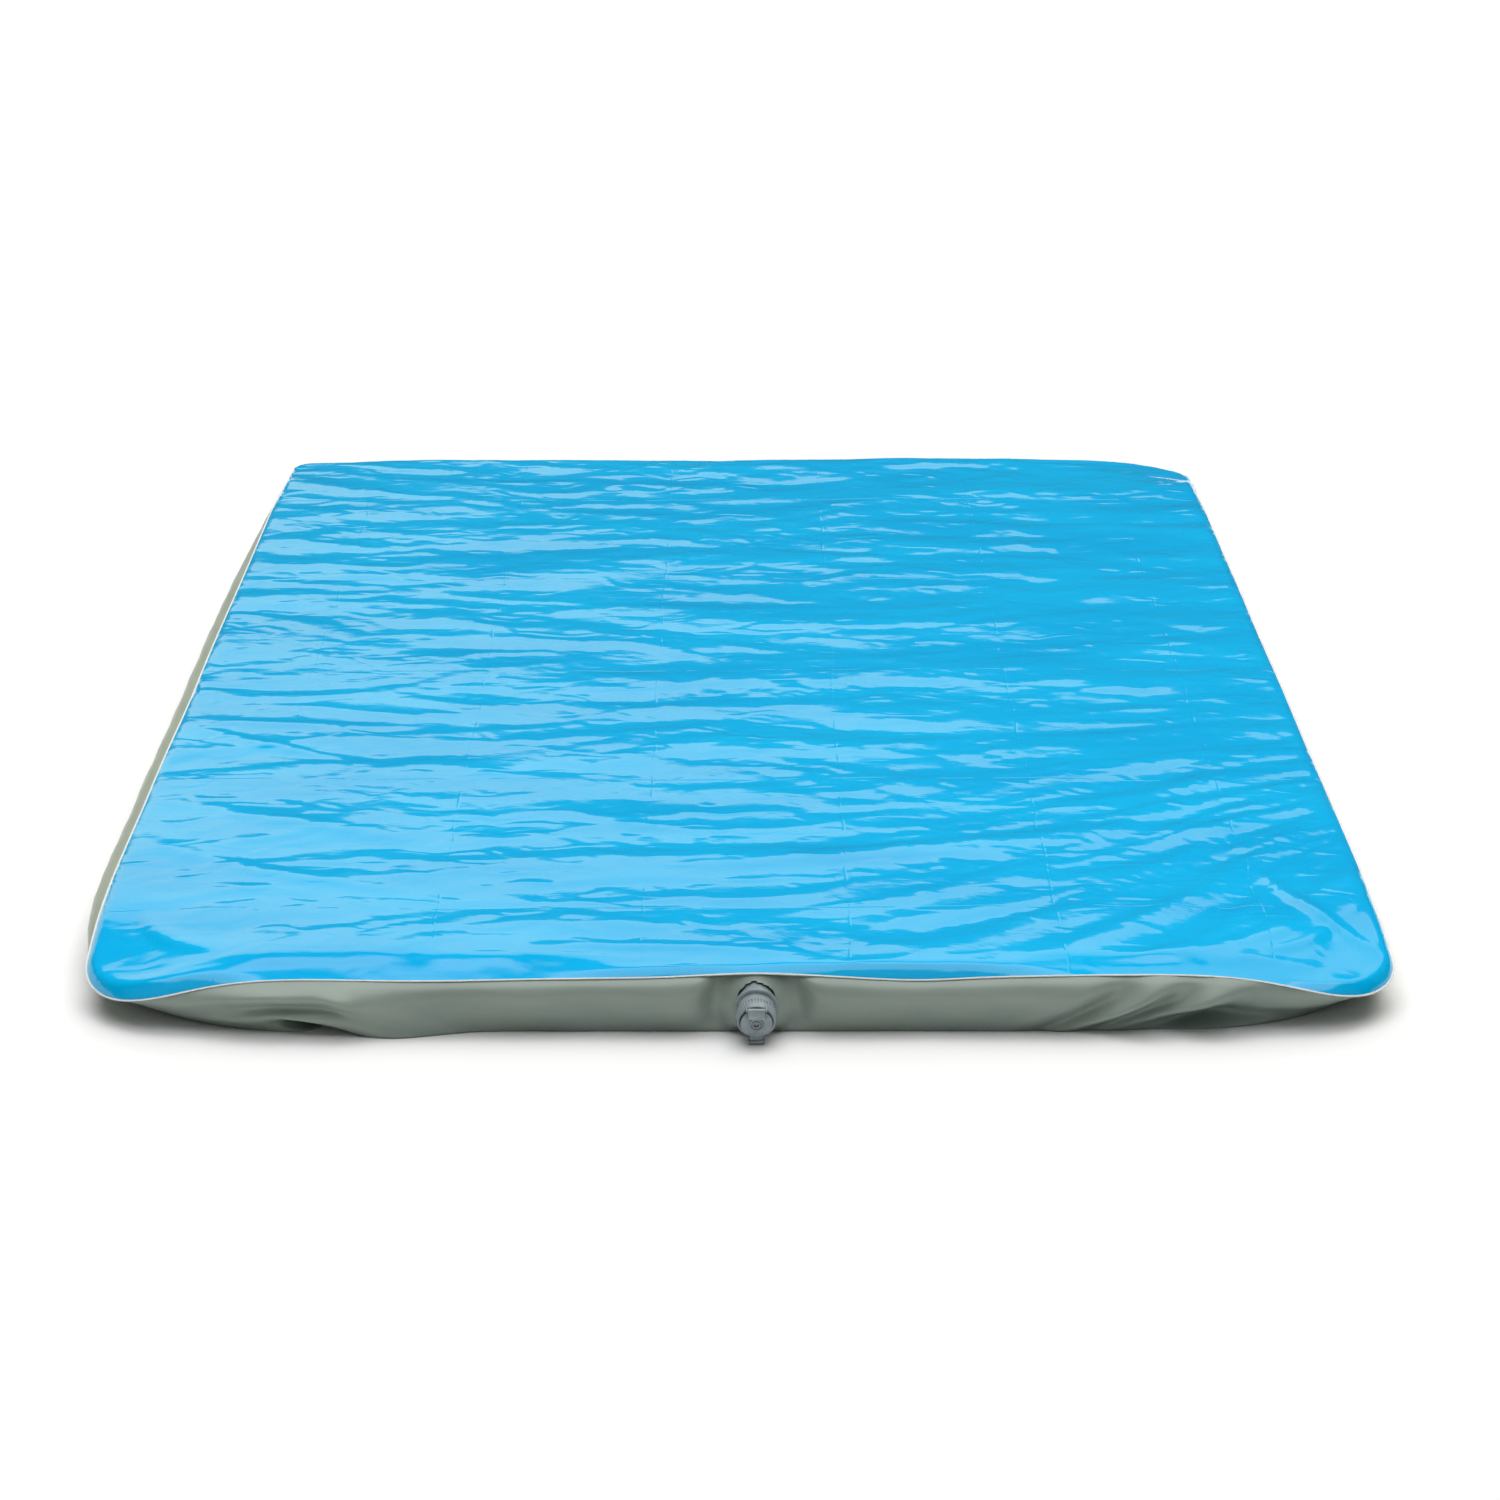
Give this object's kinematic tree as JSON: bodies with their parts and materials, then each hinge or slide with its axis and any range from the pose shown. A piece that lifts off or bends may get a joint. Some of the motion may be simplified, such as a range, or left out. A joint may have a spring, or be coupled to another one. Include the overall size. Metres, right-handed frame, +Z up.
{
  "type": "pressure relief mattress",
  "caption": "Low wide pressure relief mattress: a wrinkled glossy top sheet welded to a padded tray over a foam core, with a two-stage air valve in the foot wall.",
  "frame": {"origin": "centre of the flat underside", "axes": "+Z up, +Y from the foot end with the valve towards the head end, +X across the width"},
  "size_m": [1.226, 1.9582, 0.0605],
  "materials": {
    "top_film": "glossy blue polyurethane film",
    "white_knit": "white knitted polyester backing",
    "grey_vinyl": "smooth grey-green coated vinyl, satin",
    "valve_plastic": "soft translucent grey moulding",
    "seal_rubber": "soft seal rubber",
    "foam_soft": "open-cell foam, soft grade",
    "foam_firm": "open-cell foam, firm grade",
    "spacer_mesh": "open spacer block"
  },
  "bodies": {
    "bladder": {"base_tray": "grey_vinyl", "weld_band": "grey_vinyl", "valve_patch": "grey_vinyl", "top_sheet": "top_film", "knit_backing": "white_knit", "valve_neck": "valve_plastic", "foam_base_slab": "foam_soft", "foam_heel_zone": "foam_soft", "foam_torso_zone": "foam_soft", "foam_head_zone": "foam_soft", "foam_rail_left": "foam_firm", "foam_rail_right": "foam_firm", "air_spacer": "spacer_mesh"},
    "gasket": {"insert_gasket": "seal_rubber"},
    "screw_insert": {"valve_insert": "valve_plastic", "membrane_pin": "seal_rubber"},
    "one_way_disc": {"check_membrane": "seal_rubber"},
    "stopper": {"stopper": "valve_plastic", "stopper_seal": "seal_rubber"}
  },
  "joints": [
    {"name": "insert_travel", "type": "slide", "parent": "bladder", "child": "gasket", "axis": [0, -0.9659, -0.2588], "range_m": [0, 0.012]},
    {"name": "insert_turn", "type": "hinge", "parent": "gasket", "child": "screw_insert", "pos_m": [0.0145, -0.963, 0.0285], "axis": [0, -0.9659, -0.2588], "range_deg": [0, 1440]},
    {"name": "disc_lift", "type": "slide", "parent": "screw_insert", "child": "one_way_disc", "axis": [0, 0.9659, 0.2588], "range_m": [0, 0.0025]},
    {"name": "stopper_swing", "type": "hinge", "parent": "screw_insert", "child": "stopper", "pos_m": [0.0145, -0.99155, 0.03555], "axis": [-1, 0, 0], "range_deg": [0, 150]}
  ],
  "couplings": [
    {"joint": "insert_travel", "follows": "insert_turn", "m_per_rad": 0.00047746}
  ]
}
